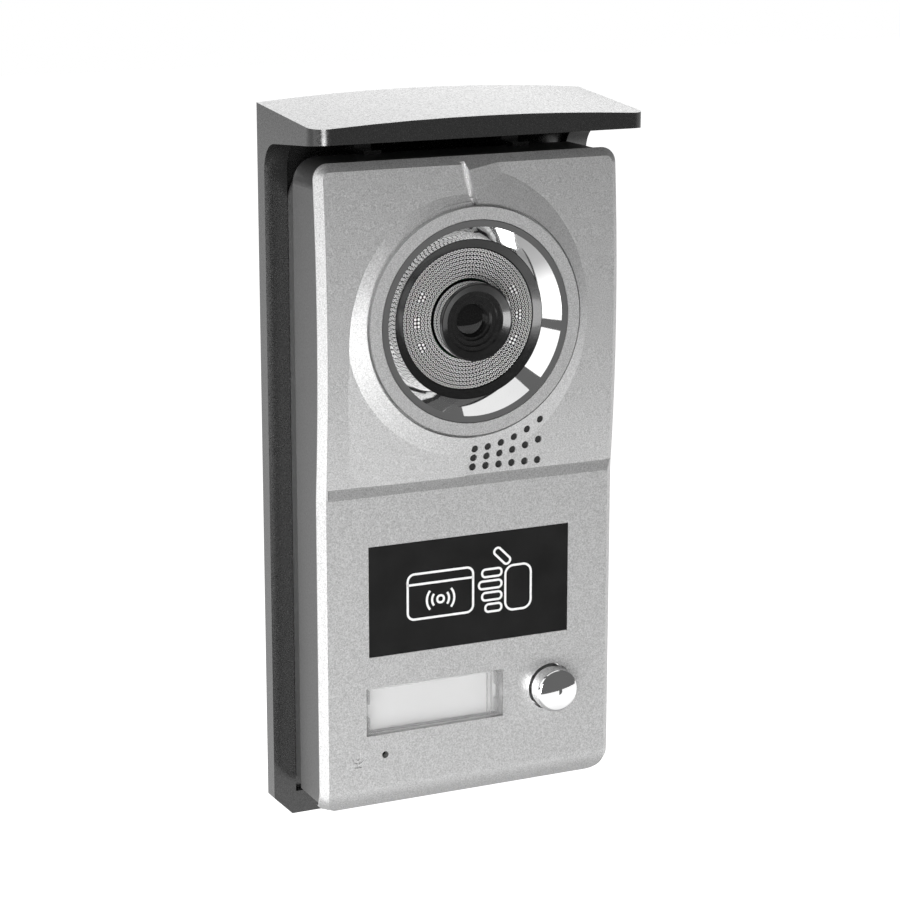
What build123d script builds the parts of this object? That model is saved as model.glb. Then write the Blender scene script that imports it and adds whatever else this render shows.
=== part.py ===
from build123d import *
import math
import os

# Door intercom panel: a camera door station in a rain hood, as an assembly of separate pieces.
# Millimetres. The origin is the centre of the hood's wall face. +X is right and +Z is up.
# The wall is the plane Y = 0 and the front faces -Y, so a depth below is a distance from the
# wall: Plane.XZ.offset(depth) is the plane at that depth, and extrude() there goes forward.

os.makedirs("parts", exist_ok=True)

# ---------------------------------------------------------------- driving dimensions
# Rain hood
HOOD_HALF_WIDTH = 49.0
HOOD_BOTTOM = -102.0
HOOD_PLATE = 2.5
HOOD_RIM_DEPTH = 5.0
HOOD_RIM_WIDTH = 6.6
HOOD_CORNER_CHAMFER = 5.4
VISOR_DEPTH = 40.5
VISOR_BACK_TOP = 101.2
VISOR_BACK_CROWN = 103.2
VISOR_FRONT_TOP = 97.6
VISOR_FRONT_CROWN = 99.3
VISOR_UNDERSIDE_BACK = 90.6
VISOR_UNDERSIDE_FRONT = 93.8
VISOR_CORNER_RADIUS = 5.0
VISOR_FILLET = 8.0
HOOK_X = 22.3
HOOK_WIDTH = 5.1

# Unit: rear case, case frame and front cover
UNIT_TOP = 87.6
UNIT_BOTTOM = -95.0
COVER_HALF_WIDTH = 45.0
CASE_FRONT_HALF_WIDTH = 44.4
CASE_REAR_HALF_WIDTH = 41.8
CASE_SPLIT_DEPTH = 14.0
CASE_REAR_TOP = 81.0
CASE_REAR_BOTTOM = -93.4
COVER_THICKNESS = 2.4
COVER_BEVEL = 2.0
COVER_TOP_RADIUS = 4.2
COVER_BOTTOM_RADIUS = 6.0
COVER_ROLL_RADIUS = 8.0
FACE_DEPTH = 31.5
BULGE_HEIGHT = 2.2
WALL = 2.2

# Ledge between the bulged upper part and the flat lower part
LEDGE_TOP = -0.4
LEDGE_BOTTOM = -3.6
LEDGE_LEFT = -42.5
LEDGE_SINK = 1.0

# Seam that runs up from the ring
SEAM_DEPTH = 31.0
SEAM_WIDTH = 1.4
SEAM_FOOT_X = 0.3
SEAM_FOOT_Z = 74.4
SEAM_FOOT_DEPTH = 34.3
SEAM_HEAD_X = -3.0
SEAM_RISE = 1.2
SEAM_RISE_END_X = 20.0
BEVEL_SUM = 117.2

# Camera, centred on X = 0
CAMERA_Z = 43.0
RING_DEPTH = 35.4
RING_OUTER_RADIUS = 31.4
RING_INNER_RADIUS = 28.0
DISH_GAP_RADIUS = 32.2
GAP_FLOOR_DEPTH = 33.4
DISH_FOOT_DEPTH = 30.0
# Cones of the dish: depth and radius of the top edge, and slope.
RIGHT_CONES = ((35.1, 30.2, 0.3),)
LEFT_CONES = ((34.6, 30.2, 0.3), (33.5, 30.2, 0.15))
DISH_HALF_WIDTH = 42.0
DISH_TILT_UP = -1.67
DISH_TILT_SIDE = 1.60
SPEAKER_PANEL_TOP_Z = 11.0
SPEAKER_PANEL_EDGE_X = -2.2
CHROME_OUTER_RADIUS = 27.8
CHROME_LIP_RADIUS = 26.0
CHROME_INNER_RADIUS = 22.1
CHROME_FOOT_DEPTH = 31.2
BEZEL_OUTER_RADIUS = 21.95
BEZEL_INNER_RADIUS = 19.7
DISC_OUTER_RADIUS = 19.6
DISC_INNER_RADIUS = 11.2
DISC_DEPTH = 30.1
BARREL_RADIUS = 10.8
BARREL_DEPTH = 35.7

# Lower face
LABEL_WIDTH = 61.4
LABEL_HEIGHT = 31.6
LABEL_Z = -33.5
PLATE_LEFT = -31.6
PLATE_RIGHT = 10.5
PLATE_TOP = -58.2
PLATE_BOTTOM = -72.1
BUTTON_X = 25.4
BUTTON_Z = -65.4
BUTTON_HOLE_RADIUS = 6.8
BUTTON_RADIUS = 6.3
BUTTON_TRAVEL = 1.2
MIC_X = -26.0
MIC_Z = -78.1
MIC_HOLE_RADIUS = 1.0

LABEL_SINK = 0.4
LABEL_THICKNESS = 0.35
SIGN_X = -34.2
SIGN_Z = -78.2
ENGRAVING_DEPTH = 0.3

# Speaker grille
SPEAKER_PITCH = 4.0
SPEAKER_FIRST_X = 0.5
SPEAKER_COLUMNS = 6
SPEAKER_BOTTOM_Z = 1.8
SPEAKER_ARC_RADIUS = 35.8
SPEAKER_HOLE_RADIUS = 1.05
SPEAKER_X = 10.5
SPEAKER_Z = 4.5
SPEAKER_RADIUS = 12.0
SPEAKER_GASKET_FRONT = 29.1
SPEAKER_GASKET_THICKNESS = 1.0

# Boards, from the wall outward
MAIN_BOARD_DEPTH = 15.0
BOARD_THICKNESS = 1.6
CAMERA_BOARD_DEPTH = 19.0
LED_BOARD_DEPTH = 21.4
LED_CIRCLE_RADIUS = 15.5
LED_SIDE_ANGLE = 27.0
READER_BOARD_DEPTH = 27.4
READER_BOARD_THICKNESS = 1.0
READER_BOARD_WIDTH = 58.0
READER_BOARD_HEIGHT = 29.0

# Wall fixing
WALL_SCREW_RADIUS = 2.25
WALL_SCREW_X = 22.0
WALL_SCREW_TOP_Z = 62.0
WALL_SCREW_BOTTOM_Z = -70.0
CABLE_HOLE_RADIUS = 9.0
CABLE_HOLE_Z = -18.0

# Fasteners and seal
SEAL_THICKNESS = 0.9
FIXING_SCREW_RADIUS = 1.5
FIXING_HEAD_RADIUS = 2.8
FIXING_HEAD_LENGTH = 1.7
FIXING_SCREW_LENGTH = 9.0
FIXING_SCREW_DEPTH = 7.2
LUG_WIDTH = 12.0
LUG_DEPTH = 10.8
LUG_BOTTOM = -99.8
LUG_HEIGHT = 3.8
CASE_SCREW_X = 35.0
CASE_SCREW_TOP_Z = 74.0
CASE_SCREW_BOTTOM_Z = -84.0
CASE_SCREW_RADIUS = 1.5
BOARD_SCREW_RADIUS = 1.2
SMALL_SCREW_RADIUS = 1.0
HOUSING_EAR_FRONT = 24.0
HOUSING_EAR_THICKNESS = 2.0
HOUSING_SCREW_CIRCLE = 31.0
BOARD_POST_X = 33.5
BOARD_POST_TOP_Z = 12.0
BOARD_POST_BOTTOM_Z = -50.0

CABLE_WAY_RADIUS = 5.0

# Main board and what it carries
BOARD_WIDTH = 73.0
BOARD_HEIGHT = 142.0
BOARD_Z = -5.0
TERMINALS = 6
TERMINAL_PITCH = 5.0
TERMINAL_Z = -42.0
TERMINAL_BACK = 6.0

# Inside the camera
CAMERA_BOARD_FRONT = 20.2
LED_BOARD_FRONT = 22.6
LED_RADIUS = 2.0
LED_FRONT = 27.9
DISC_ROWS = 12
DISC_GROOVE = 0.25
DISC_THICKNESS = 1.8
CHROME_BACK = 29.4
HOUSING_RADIUS = 27.2
HOUSING_BACK = 17.4
HOUSING_FLOOR = 18.6
LENS_RADIUS = 5.5
FRONT_LENS_BACK = 29.5

# Microphone
MIC_RADIUS = 2.4
MIC_BACK = 24.6
MIC_LENGTH = 2.8

# Name plate
HOLDER_BACK = 21.4
WINDOW_BACK = 28.0
WINDOW_FRONT = 31.2

# Call button and its switch
BUTTON_FRONT = 37.2
FLANGE_RADIUS = 7.5
FLANGE_FRONT = 28.7
FLANGE_BACK = 26.5
STEM_RADIUS = 2.0
STEM_END = 21.4
GUIDE_BACK = 21.2
SPRING_RADIUS = 5.0
SPRING_WIRE_RADIUS = 0.3
SPRING_TURNS = 3.5
SWITCH_FRONT = 19.8
PLUNGER_RADIUS = 1.6

# Worked out from the above
BULGE_HALF_HEIGHT = (UNIT_TOP - LEDGE_BOTTOM) / 2
BULGE_MIDDLE = (UNIT_TOP + LEDGE_BOTTOM) / 2
BULGE_RADIUS = (BULGE_HALF_HEIGHT**2 + BULGE_HEIGHT**2) / (2 * BULGE_HEIGHT)
COVER_BACK_DEPTH = FACE_DEPTH - COVER_THICKNESS
CASE_SCREW_PLACES = [
    (x, z) for x in (-CASE_SCREW_X, CASE_SCREW_X) for z in (CASE_SCREW_BOTTOM_Z, CASE_SCREW_TOP_Z)
]
HOUSING_SCREW_ANGLES = (90, 210, 330)
HOUSING_SCREW_PLACES = [
    (
        HOUSING_SCREW_CIRCLE * math.cos(math.radians(angle)),
        CAMERA_Z + HOUSING_SCREW_CIRCLE * math.sin(math.radians(angle)),
    )
    for angle in HOUSING_SCREW_ANGLES
]
LED_PLACES = [
    (
        LED_CIRCLE_RADIUS * math.cos(math.radians(angle)),
        CAMERA_Z + LED_CIRCLE_RADIUS * math.sin(math.radians(angle)),
    )
    for angle in (-LED_SIDE_ANGLE, 0, LED_SIDE_ANGLE, 180 - LED_SIDE_ANGLE, 180, 180 + LED_SIDE_ANGLE)
]
TERMINAL_PLACES = [(number - (TERMINALS - 1) / 2) * TERMINAL_PITCH for number in range(TERMINALS)]
PLATE_X = (PLATE_LEFT + PLATE_RIGHT) / 2
PLATE_Z = (PLATE_TOP + PLATE_BOTTOM) / 2
PLATE_WIDTH = PLATE_RIGHT - PLATE_LEFT
PLATE_HEIGHT = PLATE_TOP - PLATE_BOTTOM
BOARD_FRONT = MAIN_BOARD_DEPTH + BOARD_THICKNESS
BOARD_POST_PLACES = [
    (x, z) for x in (-BOARD_POST_X, BOARD_POST_X) for z in (BOARD_POST_BOTTOM_Z, BOARD_POST_TOP_Z)
]
WALL_SCREW_PLACES = [
    (x, z) for x in (-WALL_SCREW_X, WALL_SCREW_X) for z in (WALL_SCREW_BOTTOM_Z, WALL_SCREW_TOP_Z)
]


def depth_plane(depth):
    """The plane parallel to the wall at this depth, facing forward."""
    return Plane.XZ.offset(depth)


def side_plane(x, z):
    """The plane seen from the right, with its origin on the wall at (x, z)."""
    return Plane(origin=(x, 0, z), x_dir=(0, 1, 0), z_dir=(1, 0, 0))


def bulge_depth(z):
    """Depth of the cover's front surface at height z in the bulged upper part."""
    drop = BULGE_RADIUS - math.sqrt(BULGE_RADIUS**2 - (z - BULGE_MIDDLE) ** 2)
    return FACE_DEPTH + BULGE_HEIGHT - drop


def save(piece, name):
    """Label a finished piece and write its STEP file."""
    piece.label = name
    export_step(piece, f"parts/{name}.step")


def unit_outline(half_width, top, bottom, top_radius, bottom_cut, chamfered):
    """Outline of the unit: rounded top corners, chamfered or rounded bottom corners."""
    with BuildSketch() as outline:
        with Locations((0, (top + bottom) / 2)):
            Rectangle(2 * half_width, top - bottom)
        upper = outline.vertices().group_by(Axis.Y)[-1]
        fillet(upper, top_radius)
        lower = outline.vertices().group_by(Axis.Y)[0]
        if chamfered:
            chamfer(lower, bottom_cut)
        else:
            fillet(lower, bottom_cut)
    return outline.sketch


def front_surface(offset_depth):
    """Side view of the front surface, moved forward by an offset, as four joined edges."""
    y = -(FACE_DEPTH + offset_depth)
    roll = COVER_ROLL_RADIUS + offset_depth
    roll_y = -FACE_DEPTH + COVER_ROLL_RADIUS
    roll_z = UNIT_BOTTOM + COVER_ROLL_RADIUS
    diagonal = roll * math.sqrt(0.5)
    ThreePointArc((y, UNIT_TOP), (y - BULGE_HEIGHT, BULGE_MIDDLE), (y, LEDGE_BOTTOM))
    Line((y, LEDGE_BOTTOM), (y, roll_z))
    ThreePointArc((y, roll_z), (roll_y - diagonal, roll_z - diagonal), (roll_y, roll_z - roll))
    return (y, UNIT_TOP), (roll_y, roll_z - roll)


def front_profile(front, back):
    """Side view, in (Y, Z), of the space behind the front surface, offset by front.

    It ends at the same surface offset by back, or at the wall when back is None."""
    with BuildSketch() as profile:
        with BuildLine():
            front_top, front_bottom = front_surface(front)
            if back is None:
                Polyline(
                    front_top,
                    (0, UNIT_TOP),
                    (0, UNIT_BOTTOM),
                    (front_bottom[0], UNIT_BOTTOM),
                    front_bottom,
                )
            else:
                back_top, back_bottom = front_surface(back)
                Line(front_top, back_top)
                Line(front_bottom, back_bottom)
        make_face()
    return profile.sketch


def on_front_surface(edge):
    """True if both ends and the middle of an edge lie on the cover's front surface."""
    for share in (0.0, 0.5, 1.0):
        point = edge @ share
        roll_drop = UNIT_BOTTOM + COVER_ROLL_RADIUS - point.Z
        if point.Z > LEDGE_BOTTOM:
            depth = bulge_depth(point.Z)
        elif roll_drop < 0:
            depth = FACE_DEPTH
        else:
            inset = math.sqrt(max(0.0, COVER_ROLL_RADIUS**2 - roll_drop**2))
            depth = FACE_DEPTH - COVER_ROLL_RADIUS + inset
        if abs(-point.Y - depth) > 0.02:
            return False
    return True


def front_rim(edges):
    """The cover's front outline, without its bottom edge and the lines across the front."""
    rim = []
    for edge in edges:
        start = edge @ 0
        end = edge @ 1
        across = start.X * end.X < 0 and min(abs(start.X), abs(end.X)) > COVER_HALF_WIDTH - 1
        at_bottom = max(start.Z, end.Z) < UNIT_BOTTOM + 0.1
        at_top = min(start.Z, end.Z) > UNIT_TOP - 0.1
        across = across and not at_top
        if on_front_surface(edge) and not across and not at_bottom:
            rim.append(edge)
    return rim


def dish_half(left):
    """Front view of the left or right half of the dish, split at the seam and the speaker panel."""
    side = -1 if left else 1
    with BuildSketch() as half:
        with BuildLine():
            Polyline(
                (SEAM_HEAD_X, UNIT_TOP),
                (SEAM_FOOT_X, SEAM_FOOT_Z),
                (SEAM_FOOT_X, CAMERA_Z),
                (0, SPEAKER_PANEL_TOP_Z),
                (SPEAKER_PANEL_EDGE_X, LEDGE_TOP),
                (side * DISH_HALF_WIDTH, LEDGE_TOP),
                (side * DISH_HALF_WIDTH, UNIT_TOP),
                close=True,
            )
        make_face()
    return half.sketch


def seal_outline():
    """Ring in the middle of the rear case's rim."""
    with BuildSketch() as ring:
        add(unit_outline(CASE_FRONT_HALF_WIDTH - 1.1, UNIT_TOP - 0.8, UNIT_BOTTOM + 0.8, 6.4, 3.7, True))
        add(
            unit_outline(CASE_FRONT_HALF_WIDTH - 1.9, UNIT_TOP - 1.6, UNIT_BOTTOM + 1.6, 5.6, 3.4, True),
            mode=Mode.SUBTRACT,
        )
    return ring.sketch


def turned(profile_points, x=0.0, z=CAMERA_Z, mode=Mode.ADD):
    """Revolve a closed (radius, depth) profile about the Y direction through (x, z)."""
    with BuildSketch(side_plane(x, z)) as section:
        with BuildLine():
            Polyline([(-depth, radius) for radius, depth in profile_points], close=True)
        make_face()
    revolve(section.sketch, axis=Axis((x, 0, z), (0, -1, 0)), mode=mode)


def dome_arc(front, sag, radius):
    """Side view of a dome's arc, from its crown on the axis to its edge."""
    sphere = (radius**2 + sag**2) / (2 * sag)
    drop = sphere - math.sqrt(sphere**2 - radius**2 / 4)
    ThreePointArc((-front, 0), (-front + drop, radius / 2), (-front + sag, radius))


def disc_at(x, z, radius, back, front, mode=Mode.ADD):
    """A cylinder along Y from depth back to depth front."""
    with BuildSketch(depth_plane(back)) as section:
        with Locations((x, z)):
            Circle(radius)
    extrude(section.sketch, amount=front - back, mode=mode)


def block_at(x, z, width, height, back, front, mode=Mode.ADD):
    """A rectangular block centred on (x, z) from depth back to depth front."""
    with BuildSketch(depth_plane(back)) as section:
        with Locations((x, z)):
            Rectangle(width, height)
    extrude(section.sketch, amount=front - back, mode=mode)


# ---------------------------------------------------------------- rain hood
with BuildPart() as rain_hood:
    # Plan view, with rounded front corners on the visor.
    with BuildSketch(Plane.XY.offset(HOOD_BOTTOM)) as plan:
        with Locations((0, -VISOR_DEPTH / 2)):
            Rectangle(2 * HOOD_HALF_WIDTH, VISOR_DEPTH)
        fillet(plan.vertices().group_by(Axis.Y)[0], VISOR_CORNER_RADIUS)
    extrude(amount=VISOR_BACK_CROWN - HOOD_BOTTOM + 1)
    # Arched top, which falls from the wall to the front.
    for depth, side, crown in (
        (-1, VISOR_BACK_TOP, VISOR_BACK_CROWN),
        (VISOR_DEPTH + 1, VISOR_FRONT_TOP, VISOR_FRONT_CROWN),
    ):
        reach = HOOD_HALF_WIDTH + 6
        end_z = crown - (crown - side) * (reach / HOOD_HALF_WIDTH) ** 2
        with BuildSketch(depth_plane(depth)):
            with BuildLine():
                Polyline(
                    (-reach, end_z), (-reach, HOOD_BOTTOM - 1), (reach, HOOD_BOTTOM - 1), (reach, end_z)
                )
                ThreePointArc((reach, end_z), (0, crown), (-reach, end_z))
            make_face()
    loft(ruled=True, mode=Mode.INTERSECT)
    # Below the visor only the wall plate and its rim are left.
    with BuildSketch(Plane.YZ) as below_visor:
        with BuildLine():
            Polyline(
                (-HOOD_RIM_DEPTH, HOOD_BOTTOM - 1),
                (-HOOD_RIM_DEPTH, VISOR_UNDERSIDE_BACK),
                (-VISOR_DEPTH - 1, VISOR_UNDERSIDE_FRONT),
                (-VISOR_DEPTH - 1, HOOD_BOTTOM - 1),
                close=True,
            )
        make_face()
        back_corner = below_visor.vertices().sort_by_distance((-HOOD_RIM_DEPTH, VISOR_UNDERSIDE_BACK))[0]
        fillet(back_corner, VISOR_FILLET)
    extrude(amount=HOOD_HALF_WIDTH + 1, both=True, mode=Mode.SUBTRACT)
    # Tray between the side rims, which takes the back of the unit.
    tray_half_width = HOOD_HALF_WIDTH - HOOD_RIM_WIDTH
    tray_bottom = HOOD_BOTTOM + HOOD_RIM_WIDTH
    with BuildSketch(Plane.YZ) as tray_side:
        with BuildLine():
            Polyline(
                (-HOOD_PLATE, tray_bottom),
                (-HOOD_PLATE, VISOR_UNDERSIDE_BACK),
                (-VISOR_DEPTH - 1, VISOR_UNDERSIDE_FRONT),
                (-VISOR_DEPTH - 1, tray_bottom),
                close=True,
            )
        make_face()
        back_corner = tray_side.vertices().sort_by_distance((-HOOD_PLATE, VISOR_UNDERSIDE_BACK))[0]
        fillet(back_corner, VISOR_FILLET)
    extrude(amount=tray_half_width, both=True, mode=Mode.SUBTRACT)
    # Chamfered bottom corners.
    with BuildSketch(depth_plane(0)):
        for side in (-1, 1):
            with BuildLine():
                Polyline(
                    (side * HOOD_HALF_WIDTH, HOOD_BOTTOM),
                    (side * HOOD_HALF_WIDTH, HOOD_BOTTOM + HOOD_CORNER_CHAMFER),
                    (side * (HOOD_HALF_WIDTH - HOOD_CORNER_CHAMFER), HOOD_BOTTOM),
                    close=True,
                )
            make_face()
    extrude(amount=HOOD_RIM_DEPTH, mode=Mode.SUBTRACT)
    # Hooks that the top of the unit hangs from.
    for side in (-1, 1):
        with BuildSketch(depth_plane(HOOD_PLATE)):
            with Locations((side * HOOK_X, (UNIT_TOP + VISOR_UNDERSIDE_BACK) / 2 + 0.3)):
                Rectangle(HOOK_WIDTH, VISOR_UNDERSIDE_BACK - UNIT_TOP + 0.6)
        extrude(amount=7.5)
        with BuildSketch(depth_plane(HOOD_PLATE)):
            with Locations((side * HOOK_X, UNIT_TOP + 0.5)):
                Rectangle(HOOK_WIDTH, 1.0)
        extrude(amount=14.5)
    # Wall screw holes and the cable hole.
    with BuildSketch(depth_plane(0)):
        with Locations(*WALL_SCREW_PLACES):
            Circle(WALL_SCREW_RADIUS)
        with Locations((0, CABLE_HOLE_Z)):
            Circle(CABLE_HOLE_RADIUS)
    extrude(amount=HOOD_PLATE, mode=Mode.SUBTRACT)
    # Lug below the unit for the fixing screw.
    with BuildSketch(Plane.XY.offset(LUG_BOTTOM)):
        with Locations((0, -LUG_DEPTH / 2)):
            Rectangle(LUG_WIDTH, LUG_DEPTH)
    extrude(amount=LUG_HEIGHT)
    with BuildSketch(Plane.XY.offset(LUG_BOTTOM)):
        with Locations((0, -FIXING_SCREW_DEPTH)):
            Circle(FIXING_SCREW_RADIUS + 0.05)
    extrude(amount=LUG_HEIGHT, mode=Mode.SUBTRACT)
    with BuildSketch(Plane.XY.offset(LUG_BOTTOM)):
        with Locations((0, -FIXING_SCREW_DEPTH)):
            Circle(FIXING_HEAD_RADIUS + 0.2)
    extrude(amount=FIXING_HEAD_LENGTH, mode=Mode.SUBTRACT)
save(rain_hood.part, "rain_hood")

# ---------------------------------------------------------------- rear case
with BuildPart() as rear_case:
    with BuildSketch(depth_plane(HOOD_PLATE)):
        add(unit_outline(CASE_REAR_HALF_WIDTH, CASE_REAR_TOP, CASE_REAR_BOTTOM, 7, 4, True))
    with BuildSketch(depth_plane(CASE_SPLIT_DEPTH)):
        add(unit_outline(CASE_FRONT_HALF_WIDTH - 0.4, UNIT_TOP, UNIT_BOTTOM, 7, 4, True))
    loft(ruled=True)
    with BuildSketch(depth_plane(HOOD_PLATE + WALL)):
        add(
            unit_outline(
                CASE_REAR_HALF_WIDTH - WALL, CASE_REAR_TOP - WALL, CASE_REAR_BOTTOM + WALL, 5, 3, True
            )
        )
    extrude(amount=CASE_SPLIT_DEPTH, mode=Mode.SUBTRACT)
    # Pockets in the back that clear the wall screws' heads, and the cable way.
    with BuildSketch(depth_plane(HOOD_PLATE)):
        with Locations(*WALL_SCREW_PLACES):
            Circle(6.5)
    extrude(amount=6)
    with BuildSketch(depth_plane(HOOD_PLATE)):
        with Locations(*WALL_SCREW_PLACES):
            Circle(5.0)
    extrude(amount=4.5, mode=Mode.SUBTRACT)
    with BuildSketch(depth_plane(HOOD_PLATE)):
        with Locations((0, CABLE_HOLE_Z)):
            Circle(CABLE_HOLE_RADIUS)
    extrude(amount=WALL, mode=Mode.SUBTRACT)
    # Corner posts for the case screws, with pilot holes from the back.
    with BuildSketch(depth_plane(HOOD_PLATE)):
        with Locations(*CASE_SCREW_PLACES):
            Circle(4)
    extrude(amount=CASE_SPLIT_DEPTH - HOOD_PLATE)
    with BuildSketch(depth_plane(HOOD_PLATE)):
        with Locations(*CASE_SCREW_PLACES):
            Circle(1.6)
    extrude(amount=CASE_SPLIT_DEPTH - HOOD_PLATE, mode=Mode.SUBTRACT)
    with BuildSketch(depth_plane(HOOD_PLATE)):
        with Locations(*CASE_SCREW_PLACES):
            Circle(2.9)
    extrude(amount=3.5, mode=Mode.SUBTRACT)
    # Posts that carry the main board.
    for x, z in BOARD_POST_PLACES:
        disc_at(x, z, 3.0, HOOD_PLATE + WALL, MAIN_BOARD_DEPTH)
        disc_at(x, z, BOARD_SCREW_RADIUS + 0.05, HOOD_PLATE + WALL + 1, MAIN_BOARD_DEPTH, Mode.SUBTRACT)
    # Groove for the case seal.
    with BuildSketch(depth_plane(CASE_SPLIT_DEPTH)):
        add(seal_outline())
    extrude(amount=-SEAL_THICKNESS, mode=Mode.SUBTRACT)
    # Boss for the fixing screw, which comes up through the hood's lug.
    with BuildSketch(Plane.XY.offset(CASE_REAR_BOTTOM + 0.6)):
        with Locations((0, -FIXING_SCREW_DEPTH)):
            Rectangle(8, 6)
    extrude(amount=7)
    with BuildSketch(Plane.XY.offset(UNIT_BOTTOM - 1)):
        with Locations((0, -FIXING_SCREW_DEPTH)):
            Circle(FIXING_SCREW_RADIUS + 0.05)
    extrude(amount=9, mode=Mode.SUBTRACT)
save(rear_case.part, "rear_case")

# ---------------------------------------------------------------- case frame
with BuildPart() as case_frame:
    with BuildSketch(depth_plane(CASE_SPLIT_DEPTH)):
        add(unit_outline(CASE_FRONT_HALF_WIDTH, UNIT_TOP, UNIT_BOTTOM, 7, 4, True))
    extrude(amount=FACE_DEPTH + BULGE_HEIGHT - CASE_SPLIT_DEPTH)
    with BuildSketch(depth_plane(CASE_SPLIT_DEPTH)):
        add(
            unit_outline(
                CASE_FRONT_HALF_WIDTH - WALL, UNIT_TOP - WALL, UNIT_BOTTOM + WALL, 5, 3, True
            )
        )
    extrude(amount=FACE_DEPTH + BULGE_HEIGHT - CASE_SPLIT_DEPTH, mode=Mode.SUBTRACT)
    # The front edge follows the back of the cover.
    with BuildSketch(Plane.YZ):
        add(front_profile(-COVER_THICKNESS, None))
    extrude(amount=COVER_HALF_WIDTH + 5, both=True, mode=Mode.INTERSECT)
save(case_frame.part, "case_frame")


# ---------------------------------------------------------------- front cover
with BuildPart() as front_cover:
    with BuildSketch(Plane.YZ):
        add(front_profile(0, -COVER_THICKNESS))
    extrude(amount=COVER_HALF_WIDTH, both=True)
    with BuildSketch(depth_plane(0)):
        add(
            unit_outline(
                COVER_HALF_WIDTH, UNIT_TOP, UNIT_BOTTOM, COVER_TOP_RADIUS, COVER_BOTTOM_RADIUS, False
            )
        )
    extrude(amount=2 * FACE_DEPTH, mode=Mode.INTERSECT)
    # Bevel all round the front, apart from the bottom edge.
    chamfer(front_rim(front_cover.edges()), COVER_BEVEL)
    # Dish around the camera, which falls away from the ring. The right half is one plain cone. The
    # left half is two cones on a slightly tilted axis.
    for tilted, cones in ((False, RIGHT_CONES), (True, LEFT_CONES)):
        with BuildPart(mode=Mode.PRIVATE) as dish:
            for top_depth, top_radius, slope in cones:
                foot_radius = top_radius + (top_depth - DISH_FOOT_DEPTH) / slope
                turned(
                    [
                        (0, DISH_FOOT_DEPTH),
                        (0, top_depth),
                        (top_radius, top_depth),
                        (foot_radius, DISH_FOOT_DEPTH),
                    ]
                )
        solid = dish.part
        if tilted:
            centre = Location((0, -DISH_FOOT_DEPTH, CAMERA_Z))
            solid = centre * Rotation(DISH_TILT_UP, 0, DISH_TILT_SIDE) * centre.inverse() * solid
        with BuildPart(mode=Mode.PRIVATE) as half:
            add(solid)
            with BuildSketch(depth_plane(COVER_BACK_DEPTH + 1)):
                add(dish_half(tilted))
            extrude(amount=12, mode=Mode.INTERSECT)
        add(half.part)
    # Rise beside the seam, which fades out to the right.
    with BuildPart(mode=Mode.PRIVATE) as rise:
        for z, seam_x, back, front in (
            (SEAM_FOOT_Z, SEAM_FOOT_X, 31.6, SEAM_FOOT_DEPTH),
            (UNIT_TOP, SEAM_HEAD_X, 29.6, FACE_DEPTH + SEAM_RISE),
        ):
            with BuildSketch(Plane.XY.offset(z)):
                with BuildLine():
                    Polyline(
                        (seam_x + SEAM_WIDTH / 2, -back),
                        (seam_x + SEAM_WIDTH / 2, -front),
                        (SEAM_RISE_END_X, -back - 0.2),
                        (SEAM_RISE_END_X, -back),
                        close=True,
                    )
                make_face()
        loft(ruled=True)
    add(rise.part)
    with BuildSketch(Plane.YZ):
        with BuildLine():
            Polyline(
                (-(BEVEL_SUM - UNIT_TOP), UNIT_TOP),
                (-(BEVEL_SUM - UNIT_TOP + 4), UNIT_TOP - 4),
                (-(BEVEL_SUM - UNIT_TOP + 9), UNIT_TOP - 4),
                (-(BEVEL_SUM - UNIT_TOP + 9), UNIT_TOP),
                close=True,
            )
        make_face()
    extrude(amount=COVER_HALF_WIDTH, both=True, mode=Mode.SUBTRACT)
    # Ring, with a groove between it and the dish.
    with BuildSketch(depth_plane(29.6)):
        with Locations((0, CAMERA_Z)):
            Circle(DISH_GAP_RADIUS)
    extrude(amount=12, mode=Mode.SUBTRACT)
    turned(
        [
            (RING_INNER_RADIUS, 29.6),
            (RING_INNER_RADIUS, RING_DEPTH),
            (RING_OUTER_RADIUS, RING_DEPTH),
            (RING_OUTER_RADIUS, GAP_FLOOR_DEPTH),
            (DISH_GAP_RADIUS + 0.4, GAP_FLOOR_DEPTH),
            (DISH_GAP_RADIUS + 0.4, 29.6),
        ]
    )
    # Seam from the ring to the top edge.
    with BuildSketch(depth_plane(SEAM_DEPTH)):
        with BuildLine():
            Polyline(
                (SEAM_FOOT_X + SEAM_WIDTH / 2, SEAM_FOOT_Z),
                (SEAM_FOOT_X - SEAM_WIDTH / 2, SEAM_FOOT_Z),
                (SEAM_HEAD_X - SEAM_WIDTH / 2, UNIT_TOP + 1),
                (SEAM_HEAD_X + SEAM_WIDTH / 2, UNIT_TOP + 1),
                close=True,
            )
        make_face()
    extrude(amount=8, mode=Mode.SUBTRACT)
    # Ledge below the bulge.
    with BuildSketch(Plane.YZ.offset(LEDGE_LEFT)):
        with BuildLine():
            Polyline(
                (-FACE_DEPTH + LEDGE_SINK, LEDGE_TOP),
                (-FACE_DEPTH - 3, LEDGE_TOP),
                (-FACE_DEPTH - 3, LEDGE_BOTTOM),
                (-FACE_DEPTH, LEDGE_BOTTOM),
                close=True,
            )
        make_face()
    extrude(amount=2 * COVER_HALF_WIDTH, mode=Mode.SUBTRACT)
    # Speaker holes, in three rows that open out to the right.
    for column in range(SPEAKER_COLUMNS):
        hole_x = SPEAKER_FIRST_X + column * SPEAKER_PITCH
        top_z = CAMERA_Z - math.sqrt(SPEAKER_ARC_RADIUS**2 - hole_x**2)
        for hole_z in (SPEAKER_BOTTOM_Z, (SPEAKER_BOTTOM_Z + top_z) / 2, top_z):
            disc_at(hole_x, hole_z, SPEAKER_HOLE_RADIUS, 25, 40, Mode.SUBTRACT)
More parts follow.
